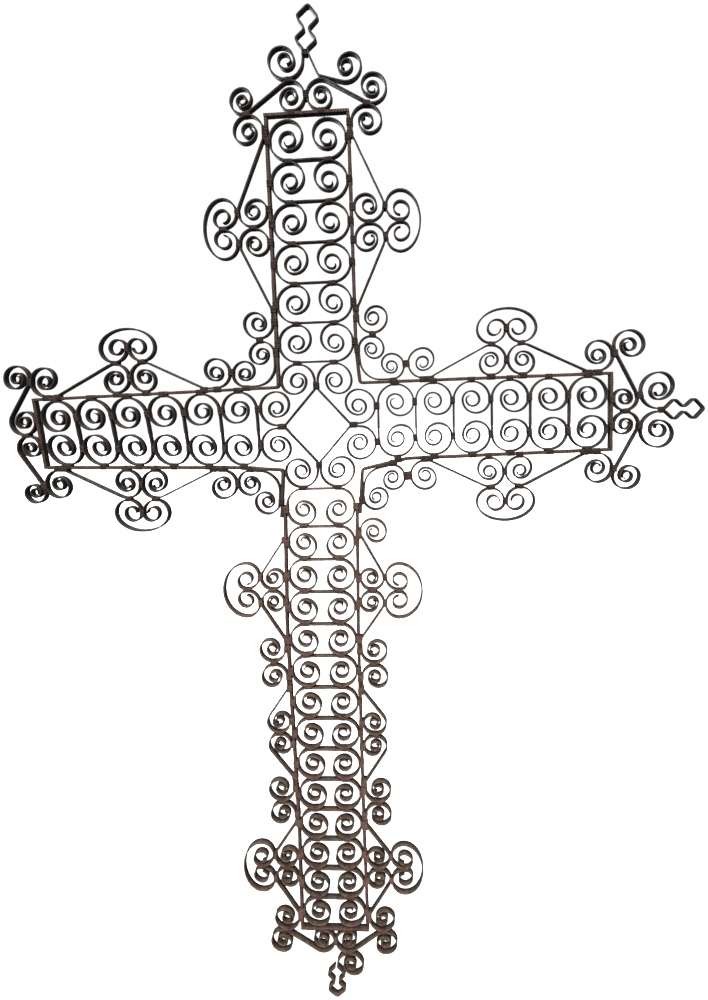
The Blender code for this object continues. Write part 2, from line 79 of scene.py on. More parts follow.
# Rails as (along, across) points; "left" is to the left of someone who looks out along the arm
RAIL_POINTS = {
    ("top", "left"): [(0.0530, 0.0555), (TOP_REACH, 0.0575)],
    ("top", "right"): [(0.0560, -0.0645), (0.1050, -0.0600), (TOP_REACH, -0.0585)],
    ("left", "left"): [(0.0540, 0.0690), (0.1200, 0.0640), (LEFT_REACH - LEFT_SLANT, 0.0570)],
    ("left", "right"): [(0.0555, -0.0530), (LEFT_REACH + LEFT_SLANT, -0.0460)],
    ("right", "left"): [(0.0645, 0.0560), (RIGHT_REACH - RIGHT_SLANT, 0.0585)],
    ("right", "right"): [(0.0645, -0.0705), (0.1300, -0.0560), (RIGHT_REACH + RIGHT_SLANT, -0.0500)],
}
LEG_LEFT_END = -0.0590 - 0.1400j
LEG_RIGHT_END = 0.0593 - 0.1360j

# What the smith's hand leaves on the stock
BEVEL = 0.0005          # worn corner of the section
HAMMER = 0.11           # share by which the thickness wavers
HAMMER_EDGE = 0.0003    # how far the front edge wavers
HAMMER_SWAY = 0.00035   # how far the front edge leans off the back one
HAMMER_PITCH = 0.016    # length of one waver
HAMMER_SLICES = (0.3, 7.1, 3.7)     # where the noise is cut for thickness, front edge and lean
STATION = 0.006         # longest stretch between two sections
TIP_LENGTH = 0.016      # a free end is drawn out thin over this length
TIP_THIN = 0.45         # and is this share as thick at its tip
BEND_RADIUS = 0.0045    # no corner is bent sharper than this
BEND_ROOM = 0.45        # share of the run on each side of a corner that its bend may take
CORNER_TURN = 20        # degrees from which a turn counts as a corner
CREASE = 40             # degrees from which two faces meet in a sharp edge
SHEEN = 0.25            # specular level of every finish of the iron


def placed(points, direction, origin=0j):
    return [origin + direction * point for point in points]


def joined(first, second):
    """One path back along the first and on along the second, which start at the same point."""
    turn = (second[1] - second[0]) / (first[0] - first[1])
    shared = [] if abs(turn.imag) < 1e-6 else [second[0]]
    return first[:0:-1] + shared + second[1:]


def softened(points):
    """The same path with its sharp corners bent round a small radius."""
    soft = [points[0]]
    for before, corner, after in zip(points, points[1:], points[2:]):
        turn = abs(cmath.phase((after - corner) / (corner - before)))
        if turn < math.radians(CORNER_TURN):
            soft.append(corner)
            continue
        cut = min(BEND_RADIUS * math.tan(turn / 2), BEND_ROOM * abs(corner - before),
                  BEND_ROOM * abs(after - corner))
        start = corner + (before - corner) / abs(before - corner) * cut
        end = corner + (after - corner) / abs(after - corner) * cut
        for share in (0.0, 0.25, 0.5, 0.75, 1.0):
            soft.append((1 - share) ** 2 * start + 2 * share * (1 - share) * corner + share ** 2 * end)
    return soft + [points[-1]]


def stations(points, spacing):
    """The same path with stops no further apart than the spacing."""
    fine = [points[0]]
    for start, end in zip(points, points[1:]):
        count = max(1, math.ceil(abs(end - start) / spacing))
        fine += [start + (end - start) * step / count for step in range(1, count + 1)]
    return fine


def close_loft(shape, rings):
    """Skin a row of equal rings and cap its two ends."""
    count = len(rings[0])
    for ring, following in zip(rings, rings[1:]):
        for side in range(count):
            other = (side + 1) % count
            shape.faces.new((ring[side], ring[other], following[other], following[side]))
    shape.faces.new(rings[0][::-1])
    shape.faces.new(rings[-1])


def forge(shape, points, thickness, free_start=True, free_end=True, rib=0.0):
    """Sweep the worn, hammered section along a path; free ends are drawn out thin."""
    points = stations(softened(points), RIB_PITCH / RIB_STATIONS if rib else STATION)
    reach = [0.0]
    for start, end in zip(points, points[1:]):
        reach.append(reach[-1] + abs(end - start))
    rings = []
    last = len(points) - 1
    for index, point in enumerate(points):
        before = point - points[index - 1] if index else points[1] - point
        after = points[index + 1] - point if index < last else before
        before, after = before / abs(before), after / abs(after)
        normal = 1j * (before + after) / abs(before + after)
        mitre = 1 / (normal.real * (1j * after).real + normal.imag * (1j * after).imag)
        waver, edge, sway = (noise.noise(Vector((point.real, slice_y, point.imag)) / HAMMER_PITCH)
                             for slice_y in HAMMER_SLICES)
        thin = 1.0
        for free, distance in ((free_start, reach[index]), (free_end, reach[-1] - reach[index])):
            if free and distance < TIP_LENGTH:
                thin = min(thin, TIP_THIN + (1 - TIP_THIN) * distance / TIP_LENGTH)
        half = thickness / 2 * (1 + HAMMER * waver) * thin
        front = -DEPTH + HAMMER_EDGE * edge
        ring = []
        for side, y in ((half - BEVEL, 0.0), (half, -BEVEL), (half, front + BEVEL),
                        (half - BEVEL, front), (BEVEL - half, front), (-half, front + BEVEL),
                        (-half, -BEVEL), (BEVEL - half, 0.0)):
            climb = 2 * math.pi * (reach[index] + RIB_SLANT * y / DEPTH) / RIB_PITCH
            swell = rib * math.sin(climb + (math.pi if side < 0 else 0.0))
            side += math.copysign(swell, side) + HAMMER_SWAY * sway * y / -DEPTH
            if y == front:
                y -= swell
            corner = point + side * mitre * normal
            ring.append(shape.verts.new((corner.real, y, corner.imag - TOP_REACH)))
        rings.append(ring)
    close_loft(shape, rings)


def piece(name, shape, finish, slot, *nodes):
    """One visible object that stands for the named nodes and hangs with the cross."""
    bmesh.ops.recalc_face_normals(shape, faces=shape.faces)
    mesh = bpy.data.meshes.new(name)
    shape.to_mesh(mesh)
    shape.free()
    mesh.shade_smooth()
    mesh.set_sharp_from_angle(angle=math.radians(CREASE))
    mesh.materials.append(finish)
    made = bpy.data.objects.new(name, mesh)
    bpy.context.collection.objects.link(made)
    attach(made, "root")
    if nodes:
        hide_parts(*nodes)


def forged_iron_group():
    """Colour, roughness and normal of old iron: black scale, rust on what looks up, rubbed edges, and
    shade painted deep toward the wall.
    """
    tree = bpy.data.node_groups.new("forged_iron", "ShaderNodeTree")
    for label, default in (("Scale Colour", (0.05, 0.04, 0.035, 1)),
                           ("Rust Colour", (0.12, 0.07, 0.05, 1)),
                           ("Worn Colour", (0.25, 0.2, 0.17, 1))):
        socket = tree.interface.new_socket(label, in_out="INPUT", socket_type="NodeSocketColor")
        socket.default_value = default
    for label, default in (("Rust", 0.4), ("Wear", 0.6)):
        socket = tree.interface.new_socket(label, in_out="INPUT", socket_type="NodeSocketFloat")
        socket.default_value = default
    tree.interface.new_socket("Colour", in_out="OUTPUT", socket_type="NodeSocketColor")
    tree.interface.new_socket("Roughness", in_out="OUTPUT", socket_type="NodeSocketFloat")
    tree.interface.new_socket("Normal", in_out="OUTPUT", socket_type="NodeSocketVector")
    link = tree.links.new

    def add(kind, **settings):
        made = tree.nodes.new(kind)
        for key, value in settings.items():
            setattr(made, key, value)
        return made

    given = add("NodeGroupInput").outputs
    place = add("ShaderNodeTexCoord").outputs["Object"]
    facing = add("ShaderNodeSeparateXYZ")
    link(add("ShaderNodeNewGeometry").outputs["Normal"], facing.inputs["Vector"])

    def cloud(scale, detail, roughness):
        made = add("ShaderNodeTexNoise")
        for key, value in (("Scale", scale), ("Detail", detail), ("Roughness", roughness)):
            made.inputs[key].default_value = value
        link(place, made.inputs["Vector"])
        return made.outputs["Fac"]

    def ramp(source, low, high, to_low=0.0, to_high=1.0):
        made = add("ShaderNodeMapRange", interpolation_type="SMOOTHSTEP")
        for key, value in (("From Min", low), ("From Max", high),
                           ("To Min", to_low), ("To Max", to_high)):
            made.inputs[key].default_value = value
        link(source, made.inputs["Value"])
        return made.outputs["Result"]

    def feed(socket, value):
        if isinstance(value, float):
            socket.default_value = value
        else:
            link(value, socket)

    def maths(operation, first, second):
        made = add("ShaderNodeMath", operation=operation)
        made.use_clamp = operation in ("ADD", "MULTIPLY")
        feed(made.inputs[0], first)
        feed(made.inputs[1], second)
        return made.outputs[0]

    def mix(share, first, second, blend="MIX"):
        made = add("ShaderNodeMix", data_type="RGBA", blend_type=blend)
        for key, value in (("Factor", share), ("A", first), ("B", second)):
            feed(made.inputs[key], value)
        return made.outputs["Result"]

    # Marks from the widest to the finest, by waves to the metre, detail and roughness
    patches = cloud(38.0, 5.0, 0.62)
    rubs = cloud(95.0, 4.0, 0.65)
    stains = cloud(150.0, 3.0, 0.6)
    grain = cloud(430.0, 4.0, 0.7)
    pits = cloud(950.0, 2.0, 0.6)

    # Rust lies in patches and most on faces that look up, where water stands
    up = ramp(facing.outputs["Z"], 0.0, 0.9, 0.0, 0.50)
    threshold = maths("SUBTRACT", 1.0, maths("ADD", given["Rust"], up))
    rust = ramp(maths("SUBTRACT", patches, threshold), -0.32, 0.12)
    rust = maths("MULTIPLY", rust, ramp(grain, 0.36, 0.60, 0.45, 1.0))
    body = mix(rust, given["Scale Colour"], given["Rust Colour"])

    # Pits hold dirt and stay dark, and so do stains a few millimetres wide
    flecks_and_shade = ramp(pits, 0.38, 0.56, 0.42, 1.0)
    flecks_and_shade = maths("MULTIPLY", flecks_and_shade, ramp(stains, 0.36, 0.60, 0.40, 1.0))

    # Shade is painted deep between the strips, darkest toward the wall, but not on the back face itself
    depth = add("ShaderNodeSeparateXYZ")
    link(place, depth.inputs["Vector"])
    painted_depth_shade = ramp(depth.outputs["Y"], -0.0020, -0.0125, 0.10, 1.0)
    painted_depth_shade = maths("MAXIMUM", painted_depth_shade, ramp(facing.outputs["Y"], 0.3, 0.8, 0.0, 0.9))
    flecks_and_shade = maths("MULTIPLY", flecks_and_shade, painted_depth_shade)
    dirt_and_shade = add("ShaderNodeCombineColor")
    for key in ("Red", "Green", "Blue"):
        link(flecks_and_shade, dirt_and_shade.inputs[key])
    # Pits, stains and the painted shade toward the wall darken the colour together
    body = mix(1.0, body, dirt_and_shade.outputs["Color"], blend="MULTIPLY")

    # The front edge is rubbed, unevenly
    front = ramp(facing.outputs["Y"], -0.35, -0.9)
    rubbed = maths("MULTIPLY", front, ramp(rubs, 0.32, 0.66, 0.30, 1.0))
    rubbed = maths("MULTIPLY", rubbed, given["Wear"])
    colour = mix(rubbed, body, given["Worn Colour"])

    bump = add("ShaderNodeBump")
    bump.inputs["Strength"].default_value = 0.7
    bump.inputs["Distance"].default_value = 0.0007
    link(maths("ADD", maths("MULTIPLY", grain, 0.6), maths("MULTIPLY", pits, 0.4)),
         bump.inputs["Height"])

    out = add("NodeGroupOutput").inputs
    link(colour, out["Colour"])
    link(ramp(rust, 0.0, 1.0, 0.46, 0.84), out["Roughness"])
    link(bump.outputs["Normal"], out["Normal"])
    return tree


FORGED_IRON = forged_iron_group()


def iron(name, scale, rust, worn, rust_share, wear, metallic):
    """One material made with the shared finish."""
    made = bpy.data.materials.new(name)
    made.use_nodes = True
    tree = made.node_tree
    shader = tree.nodes["Principled BSDF"]
    shader.inputs["Metallic"].default_value = metallic
    shader.inputs["Specular IOR Level"].default_value = SHEEN
    skin = tree.nodes.new("ShaderNodeGroup")
    skin.node_tree = FORGED_IRON
    for label, colour in (("Scale Colour", scale), ("Rust Colour", rust), ("Worn Colour", worn)):
        skin.inputs[label].default_value = (*colour, 1.0)
    skin.inputs["Rust"].default_value = rust_share
    skin.inputs["Wear"].default_value = wear
    for output, socket in (("Colour", "Base Color"), ("Roughness", "Roughness"),
                           ("Normal", "Normal")):
        tree.links.new(skin.outputs[output], shader.inputs[socket])
    return made


RAIL_IRON = iron("rail_iron", (0.026, 0.018, 0.015), (0.092, 0.048, 0.034), (0.125, 0.080, 0.061),
                 0.40, 0.60, 0.15)


def rail_line(arm, side):
    """Middle line of a rail, which stops short of the end bar."""
    points = [complex(*point) for point in RAIL_POINTS[arm, side]]
    points[-1] -= RAIL / 2 + BAR_AIR
    return placed(points, OUTWARD[arm])


CORNER_RAILS = {
    "corner_upper_left": joined(rail_line("top", "left"), rail_line("left", "right")),
    "corner_upper_right": joined(rail_line("top", "right"), rail_line("right", "left")),
    "corner_lower_left": joined(rail_line("left", "left"),
                                [rail_line("left", "left")[0], LEG_LEFT_END]),
    "corner_lower_right": joined(rail_line("right", "right"),
                                 [rail_line("right", "right")[0], LEG_RIGHT_END]),
}
for name, path in CORNER_RAILS.items():
    shape = bmesh.new()
    forge(shape, path, RAIL, free_start=False, free_end=False, rib=RAIL_RIB)
    piece(f"{name}_bar", shape, RAIL_IRON, "dark_iron", name)


# Lower rails: two long flat bars down the sides of the lower arm, a little bowed. They stand on
# the legs of the lower corners, and have rusted browner than the rails above.
LOWER_RAIL_IRON = iron("lower_rail_iron", (0.032, 0.021, 0.017), (0.125, 0.068, 0.047),
                       (0.150, 0.098, 0.075), 0.45, 0.60, 0.12)

LOWER_REACH = 0.8145    # from the crossing to the middle of the lower end bar
RAIL_POINTS["lower", "left"] = [(0.1240, 0.0550), (0.3300, 0.0510), (0.6360, 0.0510),
                                (LOWER_REACH, 0.0525)]
RAIL_POINTS["lower", "right"] = [(0.1280, -0.0535), (0.3150, -0.0580), (0.6370, -0.0525),
                                 (LOWER_REACH, -0.0540)]

LOWER_RAILS = {"rail_lower_left": rail_line("lower", "right"),
               "rail_lower_right": rail_line("lower", "left")}
for name, path in LOWER_RAILS.items():
    shape = bmesh.new()
    forge(shape, path, RAIL, free_start=False, free_end=False, rib=RAIL_RIB)
    piece(f"{name}_bar", shape, LOWER_RAIL_IRON, "rusty_iron", name)


# End bars: a short flat bar across the end of each arm, close over the ends of the rails. The wire
# round it is thicker than theirs, so the ribs stand higher.
BAR_RIB = 0.00045


def end_bar(arm):
    """Middle line of the bar across an arm's end."""
    ends = [complex(*RAIL_POINTS[arm, side][-1]) for side in ("left", "right")]
    across = (ends[0] - ends[1]) / abs(ends[0] - ends[1])
    if arm == "top":
        half_length = abs(ends[0] - ends[1]) / 2 + RAIL / 2
        bar = [TOP_REACH + 1j * half_length, TOP_REACH - 1j * half_length]
    else:
        bar = [ends[0] + across * RAIL / 2, ends[1] - across * RAIL / 2]
    return placed(bar, OUTWARD[arm])


for arm in OUTWARD:
    shape = bmesh.new()
    forge(shape, end_bar(arm), RAIL, free_start=False, free_end=False, rib=BAR_RIB)
    lower = arm == "lower"
    piece(f"bar_{arm}_bar", shape, LOWER_RAIL_IRON if lower else RAIL_IRON,
          "rusty_iron" if lower else "dark_iron", f"bar_{arm}")


# Panels: one strip of flat iron across the arm for each row, its straight spine toward the crossing
# and both ends wound outward. Each is wired to the rails and to the spine of the next row; in the
# lower arm they have rusted brown.
STRIP = 0.0025          # thickness of a scroll's strip, seen from the front
GAP = 0.0004            # air between pieces that touch
TOUCH = STRIP + GAP     # distance between the middle lines of two strips side by side
RAIL_TOUCH = (RAIL + STRIP) / 2 + GAP   # the same for a strip beside a rail
ARC_STEP = 9            # degrees between two sections of a bend

# A scroll winds in half turns, each a fixed share of the first one's radius
WIND = (1.0, 0.75, 0.46, 0.36, 0.20)
WIND_DEGREES = (180, 180, 180, 180, 100)

# Rows share the room from the first one to "last_air" before the end bar; the first may be longer.
# Rows that lean are skewed by that slope, reached at the fourth row, and are wound a little smaller.
LEAN_ROWS = 4
LEAN_LOSS = 0.007
ROWS = {
    "top": {"count": 6, "first": 0.0885, "first_extra": 0.0, "last_air": 0.0055, "lean": 0.0},
    "left": {"count": 6, "first": 0.0890, "first_extra": 0.0, "last_air": 0.0048, "lean": -0.13},
    "right": {"count": 6, "first": 0.0900, "first_extra": 0.0, "last_air": 0.0032, "lean": 0.0},
    "lower": {"count": 14, "first": 0.0980, "first_extra": 0.0068, "last_air": 0.0032, "lean": 0.0},
}

# A tie is a few turns of iron wire round two strips, or round a strip and a rail
WIRE = 0.0013
WIRE_VALLEY = 0.10      # height of a tie between two turns, as a share of the wire's thickness
WIRE_CREST = 0.60       # how much higher it is on a turn, as a share too
TIE_TURNS = 5
TIE_STOPS = 4           # sections to each turn
TIE_LENGTH = 0.0100
TIE_SLANT = 0.0014      # how far a turn climbs from its one side to its other
TIE_SINK = 0.00005      # how deep a tie is pressed into the back of the strips
TIE_CORNER = ((1.0, 0.25), (0.7, 0.7), (0.25, 1.0))     # its rounded corner, across and inward

DARK_IRON = iron("dark_iron", (0.020, 0.017, 0.016), (0.058, 0.038, 0.029), (0.098, 0.083, 0.075),
                 0.34, 0.60, 0.30)
RUSTY_IRON = iron("rusty_iron", (0.018, 0.014, 0.012), (0.170, 0.106, 0.067), (0.215, 0.156, 0.117),
                  0.26, 0.68, 0.10)
TIE_IRON = iron("tie_iron", (0.022, 0.015, 0.013), (0.072, 0.037, 0.027), (0.090, 0.057, 0.045),
                0.50, 0.60, 0.15)
RUSTY_TIES = iron("rusty_ties", (0.036, 0.022, 0.018), (0.165, 0.082, 0.056), (0.170, 0.104, 0.078),
                  0.55, 0.60, 0.10)


def mirrored(points):
    """Reflect a path in the arm's own axis."""
    return [point.conjugate() for point in points]


class Bend:
    """The middle line of a strip, drawn as it is bent: straight runs and turns."""

    def __init__(self, start, heading):
        self.points = [start]
        self.heading = heading / abs(heading)

    def ahead(self, length):
        self.points.append(self.points[-1] + self.heading * length)
        return self

    def run_to(self, centre, radius, side):
        """Straight to where a turn about the centre, to the left (1) or right (-1), begins."""
        toward = centre - self.points[-1]
        aside = math.asin(radius / abs(toward))
        self.heading = toward / abs(toward) * cmath.rect(1, -side * aside)
        return self.ahead(math.sqrt(abs(toward) ** 2 - radius ** 2))

    def turn(self, radius, degrees):
        """Positive degrees turn to the left."""
        steps = max(1, round(abs(degrees) / ARC_STEP))
        side = 1j if degrees > 0 else -1j
        centre = self.points[-1] + self.heading * side * radius
        spoke = self.points[-1] - centre
        for step in range(1, steps + 1):
            self.points.append(centre + spoke * cmath.rect(1, math.radians(degrees * step / steps)))
        self.heading *= cmath.rect(1, math.radians(degrees))
        return self

    def kink(self, heading):
        self.heading = heading / abs(heading)
        return self

    def scroll(self, radius, side, until=None, wind=WIND):
        """Wind up to the left (1) or right (-1); the first turn may go on until a heading."""
        for share, degrees in zip(wind, WIND_DEGREES):
            if until:
                degrees = math.degrees(side * cmath.phase(until / self.heading)) % 360
                until = None
            self.turn(radius * share, side * degrees)
        return self


def nearest(path, spot):
    """The point of a path that is nearest to a spot."""
    best = path[0]
    for start, end in zip(path, path[1:]):
        run = end - start
        share = min(max(((spot - start) * run.conjugate()).real / abs(run) ** 2, 0.0), 1.0)
        point = start + run * share
        if abs(point - spot) < abs(best - spot):
            best = point
    return best


def tie(shape, first, second, other_half=STRIP / 2, length=TIE_LENGTH):
    """Wind wire round a strip and another bar where their middle lines pass through two points."""
    way = (second - first) / abs(second - first)
    near, far = first - way * STRIP / 2, second + way * other_half
    centre, span, along = (near + far) / 2, abs(far - near), -1j * way
    stops = TIE_TURNS * TIE_STOPS
    front, back = -DEPTH - HAMMER_EDGE, -TIE_SINK
    middle, half_depth = (front + back) / 2, (back - front) / 2
    rings = []
    for stop in range(stops + 1):
        swell = math.sin(math.pi * (stop % TIE_STOPS) / TIE_STOPS)
        bulge = WIRE * (WIRE_VALLEY + WIRE_CREST * swell)
        ring = []
        for corner_x, corner_y in ((1, 1), (-1, 1), (-1, -1), (1, -1)):
            for turn_x, turn_y in TIE_CORNER[::corner_x * corner_y]:
                across = corner_x * (span / 2 - BEVEL + (bulge + BEVEL) * turn_x)
                y = middle + corner_y * (half_depth - BEVEL + (bulge + BEVEL) * turn_y)
                climb = TIE_SLANT / 2 * (y - middle) / half_depth
                spot = centre + along * complex((stop / stops - 0.5) * length + climb, across)
                ring.append(shape.verts.new((spot.real, y, spot.imag - TOP_REACH)))
        rings.append(ring)
    close_loft(shape, rings)


def strip_piece(name, strips, arm, node):
    """The strips of one node as a piece: those of the lower arm have rusted brown."""
    if arm == "lower":
        piece(name, strips, RUSTY_IRON, "rusty_iron", node)
    else:
        piece(name, strips, DARK_IRON, "dark_iron", node)


def tie_piece(name, ties, arm):
    """The ties of one ornament as a piece: those of the lower arm have rusted redder."""
    if arm == "lower":
        piece(name, ties, RUSTY_TIES, "rusty_iron")
    else:
        piece(name, ties, TIE_IRON, "dark_iron")


def tie_paths(shape, strip, other, spot, other_half=STRIP / 2):
    """Wire a strip to another path where the two pass a spot side by side."""
    second = nearest(other, nearest(strip, spot))
    first = nearest(strip, second)
    tie(shape, first, second, other_half)


def rail_across(arm, side, along):
    """Across position of a rail at a distance along its arm."""
    line = [complex(*point) for point in RAIL_POINTS[arm, side]]
    for start, end in zip(line, line[1:]):
        if along <= end.real or end == line[-1]:
            share = min(max((along - start.real) / (end.real - start.real), 0.0), 1.0)
            return start.imag + (end.imag - start.imag) * share


def row_measures(arm, index):
    """Start along the arm, lean, middle, half width and scroll radius of one row, and its extra."""
    row = ROWS[arm]
    reach = (RAIL_POINTS[arm, "left"][-1][0] + RAIL_POINTS[arm, "right"][-1][0]) / 2
    pitch = (reach - row["last_air"] - row["first"] - row["first_extra"]) / row["count"]
    start = row["first"] + pitch * index + (row["first_extra"] if index else 0.0)
    lean = row["lean"] * min(1.0, (index + 1) / LEAN_ROWS)
    ahead = (start, start + pitch / 2, start + pitch)
    high = min(rail_across(arm, "left", along) for along in ahead) - RAIL_TOUCH
    low = max(rail_across(arm, "right", along) for along in ahead) + RAIL_TOUCH
    radius = (pitch - TOUCH - abs(row["lean"]) * LEAN_LOSS) / 2
    extra = 0.0 if index else row["first_extra"]
    return start, lean, (high + low) / 2, (high - low) / 2, radius, extra


def row_strip(arm, index):
    start, lean, middle, half, radius, extra = row_measures(arm, index)
    one = Bend(0j, 1j).ahead(half - radius)
    if extra:
        one.turn(radius, -90).ahead(extra)
    one = one.scroll(radius, -1, until=-1j).points
    path = joined(mirrored(one), one)
    path = [complex(start + point.real + lean * point.imag, middle + point.imag)
            for point in path]
    return placed(path, OUTWARD[arm])


SIDE_RAILS = {(arm, side): rail_line(arm, side) for arm, side in RAIL_POINTS}
ROW_STRIPS = {arm: [row_strip(arm, index) for index in range(row["count"])]
              for arm, row in ROWS.items()}

for arm, strips in ROW_STRIPS.items():
    if arm == "lower":
        for index in range(0, len(strips), 2):
            pair = bmesh.new()
            forge(pair, strips[index], STRIP)
            forge(pair, strips[index + 1], STRIP)
            node = f"rows_lower_{index // 2 + 1}"
            strip_piece(f"{node}_strips", pair, arm, node)
    else:
        for index, strip in enumerate(strips):
            shape = bmesh.new()
            forge(shape, strip, STRIP)
            node = f"row_{arm}_{index + 1}"
            strip_piece(f"{node}_strip", shape, arm, node)
    ties = bmesh.new()
    for index, strip in enumerate(strips):
        start, lean, middle, half, radius, extra = row_measures(arm, index)
        for sign, side in ((1, "left"), (-1, "right")):
            spot = complex(start + radius + extra / 2 + lean * sign * half, middle + sign * half)
            tie_paths(ties, strip, SIDE_RAILS[arm, side], spot * OUTWARD[arm], other_half=RAIL / 2)
            if index < len(strips) - 1:
                across = sign * (half - radius)
                spot = complex(start + 2 * radius + extra + lean * across, middle + across)
                tie_paths(ties, strip, strips[index + 1], spot * OUTWARD[arm])
    tie_piece(f"row_ties_{arm}", ties, arm)


# Crossing: four strips with a scroll at both ends, whose straight backs make an open diamond. They
# are wired to each other at its four points, and their curls to the first row of each arm.
DIAMOND_CENTRE = -0.0045j
DIAMOND_HALF_WIDTH = 0.0480
DIAMOND_HALF_HEIGHT = 0.0533
DIAMOND_AIR = 0.0016    # room beside the first row of a side arm, for its lean
DIAMOND_KNOT = 0.0050   # from a point of the diamond out to the middle of its tie
KISS = 0.0022           # from the axis to the middle line of a strip bent against its twin
# Each quarter: the arms beside it, and the radii of its upright and its level scroll
DIAMOND_QUARTERS = {
    "upper_right": ("top", "right", 0.0250, 0.0245),
    "upper_left": ("top", "left", 0.0245, 0.0245),
    "lower_left": ("lower", "left", 0.0238, 0.0245),
    "lower_right": ("lower", "right", 0.0250, 0.0240),
}

ties = bmesh.new()
for name, (tall_arm, side_arm, tall_radius, side_radius) in DIAMOND_QUARTERS.items():
    z_sign, x_sign = round(OUTWARD[tall_arm].imag), OUTWARD[side_arm]
    tall_end = ROWS[tall_arm]["first"] - TOUCH - z_sign * DIAMOND_CENTRE.imag
    side_end = ROWS[side_arm]["first"] - TOUCH - DIAMOND_AIR
    side_knot = complex(DIAMOND_HALF_WIDTH, KISS)
    tall_knot = complex(KISS, DIAMOND_HALF_HEIGHT)
    middle = (side_knot + tall_knot) / 2
    up = Bend(middle, tall_knot - middle).ahead(abs(tall_knot - middle)).kink(1j)
    up.ahead(tall_end - tall_radius - tall_knot.imag).scroll(tall_radius, -1)
    out = Bend(middle, side_knot - middle).ahead(abs(side_knot - middle)).kink(1)
    out.ahead(side_end - side_radius - side_knot.real).scroll(side_radius, 1)
    path = [DIAMOND_CENTRE + complex(x_sign * point.real, z_sign * point.imag)
            for point in joined(out.points, up.points)]
    shape = bmesh.new()
    forge(shape, path, STRIP)
    piece(f"diamond_{name}_strip", shape, DARK_IRON, "dark_iron", f"diamond_{name}")
    curls = ((tall_arm, complex(x_sign * (KISS + tall_radius), z_sign * tall_end)),
             (side_arm, complex(x_sign * side_end, z_sign * (KISS + side_radius))))
    for arm, spot in curls:
        tie_paths(ties, path, ROW_STRIPS[arm][0], DIAMOND_CENTRE + spot)
for knot in (1j, -1j):
    spot = DIAMOND_CENTRE + knot * (DIAMOND_HALF_HEIGHT + DIAMOND_KNOT)
    tie(ties, spot - KISS, spot + KISS)
for knot in (1, -1):
    spot = DIAMOND_CENTRE + knot * (DIAMOND_HALF_WIDTH + DIAMOND_KNOT)
    tie(ties, spot - KISS * 1j, spot + KISS * 1j)
piece("diamond_ties", ties, TIE_IRON, "dark_iron")


# Outer corners: in each outer corner of the crossing a strip with a scroll at both ends is bowed
# from one rail to the other, and wired to both where it runs beside them.
CORNER_BEND = 0.0300
CORNER_STRAIGHT = 0.0153
CORNER_SCROLL = 0.0182
CORNER_FOOT = RAIL_TOUCH + CORNER_BEND + CORNER_STRAIGHT    # from the corner to where it winds
# Each corner: the side rail that ends in it, and the point that the upright rail or leg runs to
CORNERS = {
    "upper_left": ("left", "right", 1j * complex(*RAIL_POINTS["top", "left"][1])),
    "upper_right": ("right", "left", 1j * complex(*RAIL_POINTS["top", "right"][1])),
    "lower_left": ("left", "left", LEG_LEFT_END),
    "lower_right": ("right", "right", LEG_RIGHT_END),
}


def corner_frame(name):
    """The bend of the rail in a corner, and its ways outward, level and upright."""
    arm, side, upright_to = CORNERS[name]
    corner, following = (OUTWARD[arm] * complex(*point) for point in RAIL_POINTS[arm, side][:2])
    level, upright = following - corner, upright_to - corner
    return corner, level / abs(level), upright / abs(upright)


CORNER_STRIPS = {}
ties = bmesh.new()
for name in CORNERS:
    corner, level, upright = corner_frame(name)
    half = abs(cmath.phase(upright / level)) / 2
    outward = (level + upright) / abs(level + upright)
    bow = corner + outward * (RAIL_TOUCH + CORNER_BEND) / math.sin(half) - outward * CORNER_BEND
    side = 1 if (outward / level).imag > 0 else -1
    bend = 90 - math.degrees(half)
    flat = Bend(bow, -side * 1j * outward).turn(CORNER_BEND, side * bend)
    flat.ahead(CORNER_STRAIGHT).scroll(CORNER_SCROLL, side)
    tall = Bend(bow, side * 1j * outward).turn(CORNER_BEND, -side * bend)
    tall.ahead(CORNER_STRAIGHT).scroll(CORNER_SCROLL, -side)
    path = CORNER_STRIPS[name] = joined(flat.points, tall.points)
    shape = bmesh.new()
    forge(shape, path, STRIP)
    piece(f"corner_scroll_{name}_strip", shape, DARK_IRON, "dark_iron", f"corner_scroll_{name}")
    for way in (level, upright):
        tie_paths(ties, path, CORNER_RAILS[f"corner_{name}"], corner + way * CORNER_FOOT,
                  other_half=RAIL / 2)
piece("corner_ties", ties, TIE_IRON, "dark_iron")


# Side lobes: a large outer scroll held by two braces, all of the same strip. The braces' feet run
# along the rail and end in a curl, and all are wired together and to the rail. The two small lobes
# of the lower arm have no outer scroll, and one brace of a lower lobe has lost its curl.
LOBE_SEAT = 0.0005      # air between a brace and a rail that isn't quite straight
LOBE_SCROLL = 0.0200
LOBE_WIND = (1.0, 0.62, 0.45)
LOWER_FIRST = 0.2530    # from the crossing to the first lobe of the lower arm
LOWER_LAST = LOWER_REACH - 0.1058
LOWER_MIDDLE = (LOWER_FIRST + LOWER_LAST) / 2
# Sizes of a lobe: radii of a brace's scroll inside it and of the one beyond the brace's foot, and
# the reach from the rail's middle line to the lobe's outer face
WIDE = (0.0210, 0.0210, 0.0975)
NARROW = (0.0175, 0.0195, 0.0975)
LAST = (0.0175, 0.0195, 0.0915)
